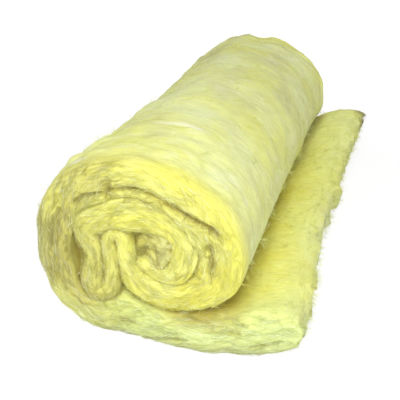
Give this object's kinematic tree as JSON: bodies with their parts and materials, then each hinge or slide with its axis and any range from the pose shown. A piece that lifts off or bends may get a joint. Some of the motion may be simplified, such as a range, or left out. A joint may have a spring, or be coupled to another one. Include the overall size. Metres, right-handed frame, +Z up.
{
  "type": "insulation roll",
  "caption": "Loosely wound roll of unfaced glass-wool blanket lying on its side, with its outer end left unrolled on the floor as a tail.",
  "frame": {"origin": "middle of the bounding box on the underside, on the floor that the roll lies on", "axes": "+Y along the roll's axis, from the end face with the open spiral to the far end; +X towards the loose tail; +Z up"},
  "size_m": [0.3174, 0.5994, 0.2053],
  "materials": {
    "glass_wool": "matt pale yellow-green fibre, fuzzy, with whitish wisps and deeper yellow binder patches"
  },
  "bodies": {
    "root": {"wool_blanket": "glass_wool"}
  },
  "joints": []
}
